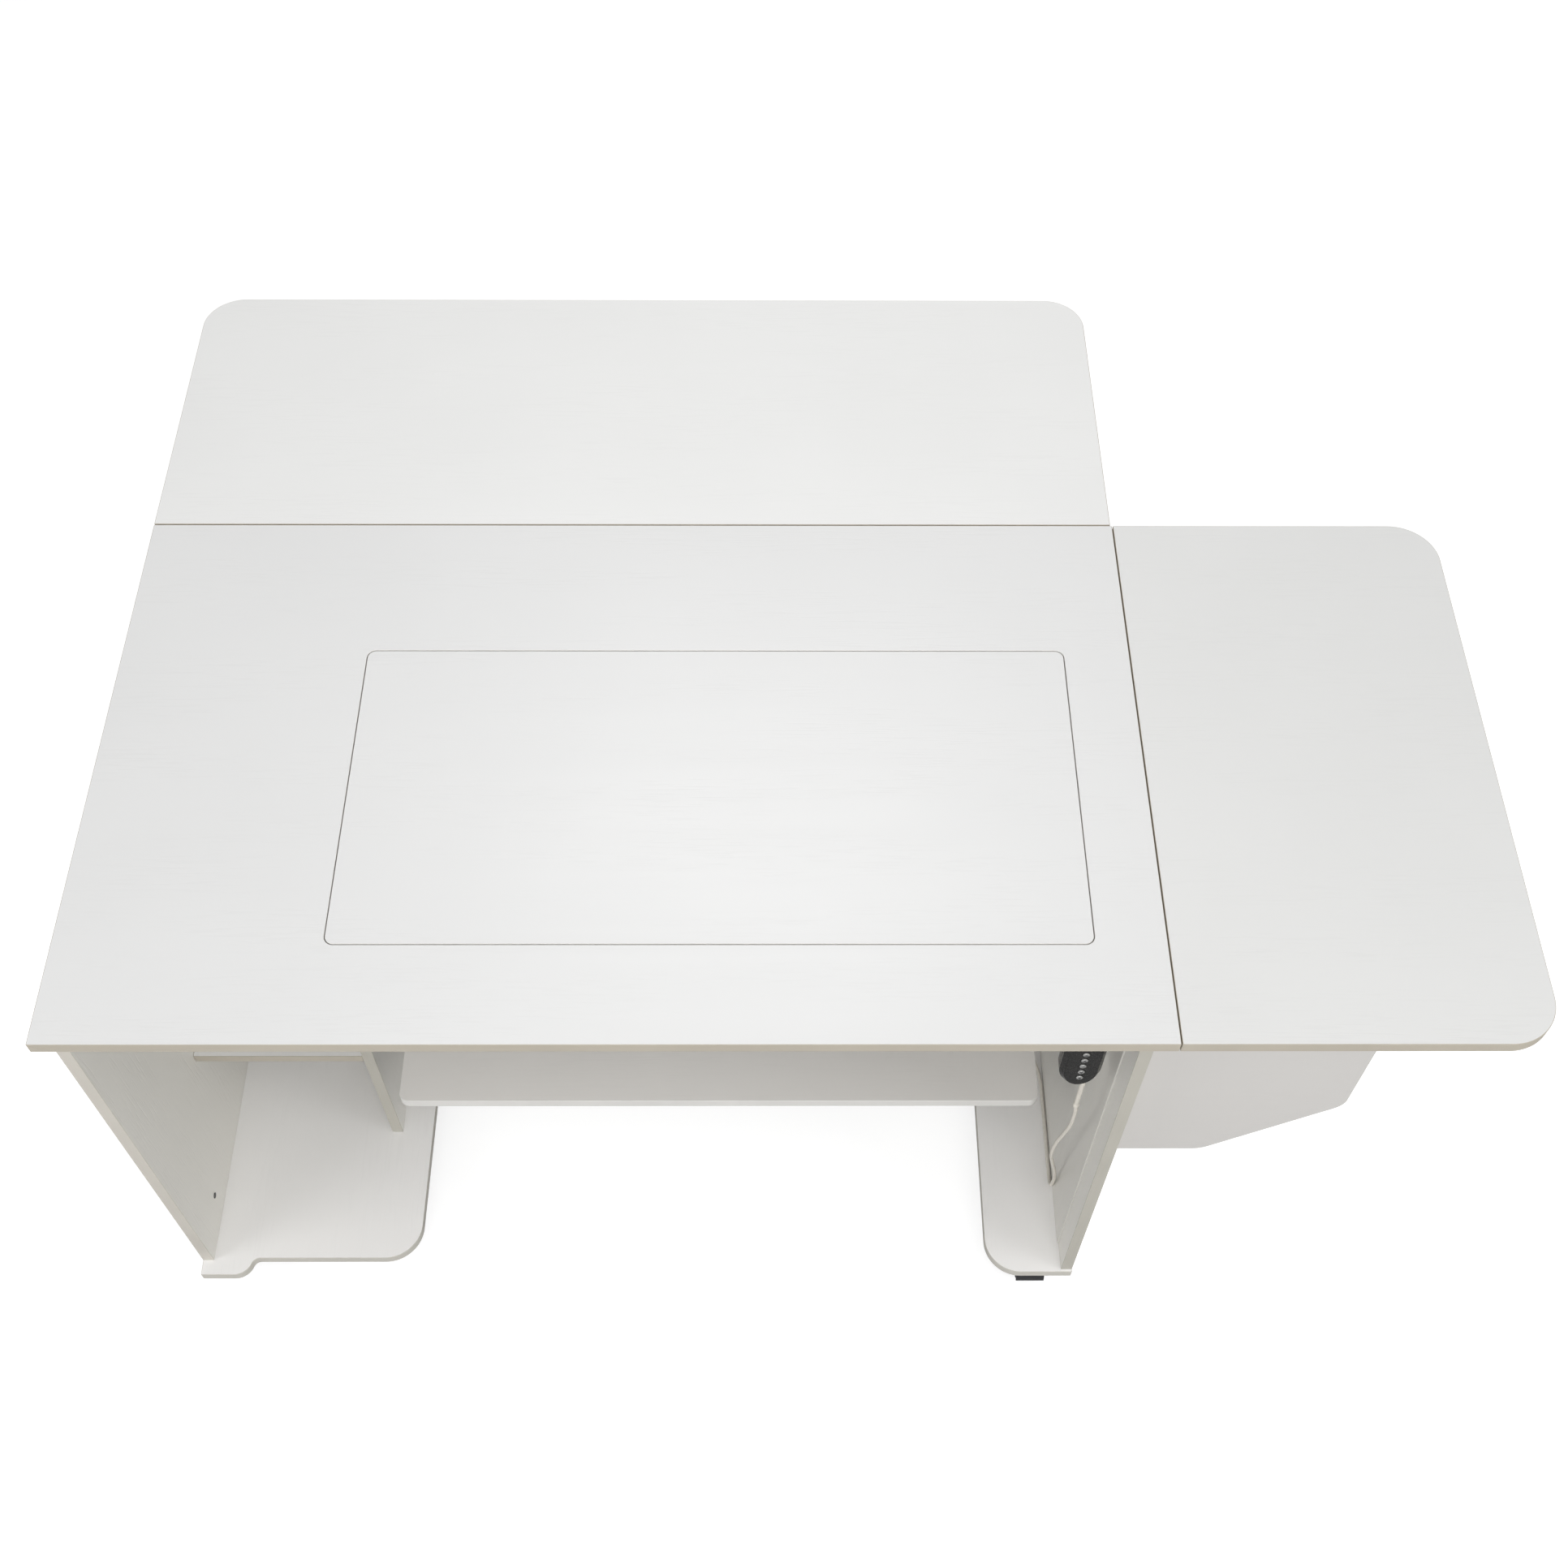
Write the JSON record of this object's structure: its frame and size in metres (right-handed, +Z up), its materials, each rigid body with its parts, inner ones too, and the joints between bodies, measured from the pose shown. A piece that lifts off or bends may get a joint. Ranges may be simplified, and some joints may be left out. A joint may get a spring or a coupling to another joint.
{
  "type": "sewing table",
  "caption": "White sewing table with a motorised machine platform under a lift-out insert, two drop leaves, a storage compartment, a corded handset and swivel casters.",
  "frame": {"origin": "centre of the footprint of the open table, on the floor", "axes": "+X to the right along the table's width, seen from the user's seat; +Y to the back; +Z up"},
  "size_m": [1.602, 1.134, 0.762],
  "materials": {
    "laminate_top": "white melamine laminate, fine embossed grain, satin",
    "laminate_panel": "white melamine laminate, fine embossed grain, satin",
    "backing_board": "white laminated board, plain, satin",
    "zinc_steel": "zinc plated",
    "screw_steel": "ground and lightly oiled",
    "painted_steel": "grey powder coat",
    "motor_paint": "black paint, semi-gloss",
    "housing_plastic": "fine texture",
    "handset_plastic": "fine texture, satin",
    "button_silver": "silver pad on black rubber",
    "cord_jacket": "satin PVC",
    "cable_jacket": "satin PVC",
    "dark_plastic": "satin",
    "caster_tread": "matt",
    "pad_rubber": "matt"
  },
  "bodies": {
    "cabinet": {"main_top": "laminate_top", "left_side_panel": "laminate_panel", "right_side_panel": "laminate_panel", "divider_panel": "laminate_panel", "left_base_board": "laminate_panel", "right_base_board": "laminate_panel", "mid_shelf": "laminate_panel", "back_panel": "backing_board", "compartment_back": "backing_board", "rear_apron": "laminate_panel", "base_stretcher": "laminate_panel", "right_liner": "backing_board", "cam_locks": "dark_plastic", "insert_tabs": "zinc_steel", "lift_rails": "zinc_steel", "screw_bearing": "painted_steel", "lift_gearbox": "painted_steel", "lift_motor": "motor_paint", "motor_cable": "cable_jacket", "control_box": "housing_plastic", "control_box_lid": "housing_plastic", "handset_holder": "handset_plastic", "handset_front": "handset_plastic", "handset_back": "handset_plastic", "handset_cord": "cord_jacket", "cord_strain_relief": "cord_jacket", "cord_plug": "handset_plastic", "hinge_fixed_leaves": "zinc_steel", "hinge_pins": "zinc_steel", "stay_plates": "zinc_steel", "caster_plates": "zinc_steel"},
    "insert": {"insert_panel": "laminate_top"},
    "rear_leaf_body": {"rear_leaf": "laminate_top", "rear_leaf_hinge_leaves": "zinc_steel", "stay_arms": "zinc_steel"},
    "stays": {"stay_struts": "zinc_steel"},
    "right_leaf_body": {"right_leaf": "laminate_top", "right_leaf_hinge_leaves": "zinc_steel"},
    "swing_bracket": {"bracket_panel": "laminate_panel", "bracket_pad": "pad_rubber", "bracket_hinge_leaf": "zinc_steel"},
    "lift_carriage": {"machine_platform": "laminate_panel", "carriage_arms": "painted_steel", "slider_blocks": "dark_plastic", "cross_bar": "painted_steel", "lift_nut": "screw_steel"},
    "screw": {"lift_screw": "screw_steel"},
    "button_1": {"handset_button_1": "button_silver"},
    "button_2": {"handset_button_2": "button_silver"},
    "button_3": {"handset_button_3": "button_silver"},
    "button_4": {"handset_button_4": "button_silver"},
    "button_5": {"handset_button_5": "button_silver"},
    "caster_1_fork": {"caster_1_hood": "dark_plastic"},
    "caster_1_roll": {"caster_1_wheels": "caster_tread"},
    "caster_2_fork": {"caster_2_hood": "dark_plastic"},
    "caster_2_roll": {"caster_2_wheels": "caster_tread"},
    "caster_3_fork": {"caster_3_hood": "dark_plastic"},
    "caster_3_roll": {"caster_3_wheels": "caster_tread"},
    "caster_4_fork": {"caster_4_hood": "dark_plastic"},
    "caster_4_roll": {"caster_4_wheels": "caster_tread"}
  },
  "joints": [
    {"name": "platform_lift", "type": "slide", "parent": "cabinet", "child": "lift_carriage", "axis": [0, 0, 1], "range_m": [0, 0.39]},
    {"name": "screw_turn", "type": "hinge", "parent": "cabinet", "child": "screw", "pos_m": [-0.09425, -0.045, 0.4], "axis": [0, 0, 1], "range_deg": [0, 7021]},
    {"name": "insert_lift_off", "type": "slide", "parent": "cabinet", "child": "insert", "axis": [0, 0, 1], "range_m": [0, 0.15]},
    {"name": "rear_leaf_fold", "type": "hinge", "parent": "cabinet", "child": "rear_leaf_body", "pos_m": [-0.201, 0.1536, 0.742], "axis": [1, 0, 0], "range_deg": [-90, 0]},
    {"name": "stay_fold", "type": "hinge", "parent": "cabinet", "child": "stays", "pos_m": [-0.201, 0.139, 0.632], "axis": [1, 0, 0], "range_deg": [-131.99, 0]},
    {"name": "right_leaf_lift", "type": "hinge", "parent": "cabinet", "child": "right_leaf_body", "pos_m": [0.3996, -0.207, 0.742], "axis": [0, -1, 0], "range_deg": [0, 2.5]},
    {"name": "bracket_swing", "type": "hinge", "parent": "cabinet", "child": "swing_bracket", "pos_m": [0.3802, -0.5043, 0.56], "axis": [0, 0, 1], "range_deg": [0, 90]},
    {"name": "button_1_press", "type": "slide", "parent": "cabinet", "child": "button_1", "axis": [0, 1, 0], "range_m": [0, 0.001], "stiffness_N_per_m": 150},
    {"name": "button_2_press", "type": "slide", "parent": "cabinet", "child": "button_2", "axis": [0, 1, 0], "range_m": [0, 0.001], "stiffness_N_per_m": 150},
    {"name": "button_3_press", "type": "slide", "parent": "cabinet", "child": "button_3", "axis": [0, 1, 0], "range_m": [0, 0.001], "stiffness_N_per_m": 150},
    {"name": "button_4_press", "type": "slide", "parent": "cabinet", "child": "button_4", "axis": [0, 1, 0], "range_m": [0, 0.001], "stiffness_N_per_m": 150},
    {"name": "button_5_press", "type": "slide", "parent": "cabinet", "child": "button_5", "axis": [0, 1, 0], "range_m": [0, 0.001], "stiffness_N_per_m": 150},
    {"name": "caster_1_swivel", "type": "hinge", "parent": "cabinet", "child": "caster_1_fork", "pos_m": [-0.755, -0.505, 0.04], "axis": [0, 0, 1], "continuous": true},
    {"name": "caster_1_spin", "type": "hinge", "parent": "caster_1_fork", "child": "caster_1_roll", "pos_m": [-0.755, -0.491, 0.02], "axis": [1, 0, 0], "continuous": true},
    {"name": "caster_2_swivel", "type": "hinge", "parent": "cabinet", "child": "caster_2_fork", "pos_m": [0.325, -0.52, 0.04], "axis": [0, 0, 1], "continuous": true},
    {"name": "caster_2_spin", "type": "hinge", "parent": "caster_2_fork", "child": "caster_2_roll", "pos_m": [0.325, -0.534, 0.02], "axis": [1, 0, 0], "continuous": true},
    {"name": "caster_3_swivel", "type": "hinge", "parent": "cabinet", "child": "caster_3_fork", "pos_m": [-0.755, 0.083, 0.04], "axis": [0, 0, 1], "continuous": true},
    {"name": "caster_3_spin", "type": "hinge", "parent": "caster_3_fork", "child": "caster_3_roll", "pos_m": [-0.755, 0.097, 0.02], "axis": [1, 0, 0], "continuous": true},
    {"name": "caster_4_swivel", "type": "hinge", "parent": "cabinet", "child": "caster_4_fork", "pos_m": [0.325, 0.083, 0.04], "axis": [0, 0, 1], "continuous": true},
    {"name": "caster_4_spin", "type": "hinge", "parent": "caster_4_fork", "child": "caster_4_roll", "pos_m": [0.325, 0.097, 0.02], "axis": [1, 0, 0], "continuous": true}
  ],
  "couplings": [
    {"joint": "screw_turn", "follows": "platform_lift", "rad_per_m": 314.16},
    {"joint": "stay_fold", "follows": "rear_leaf_fold", "ratio": 1.461}
  ]
}
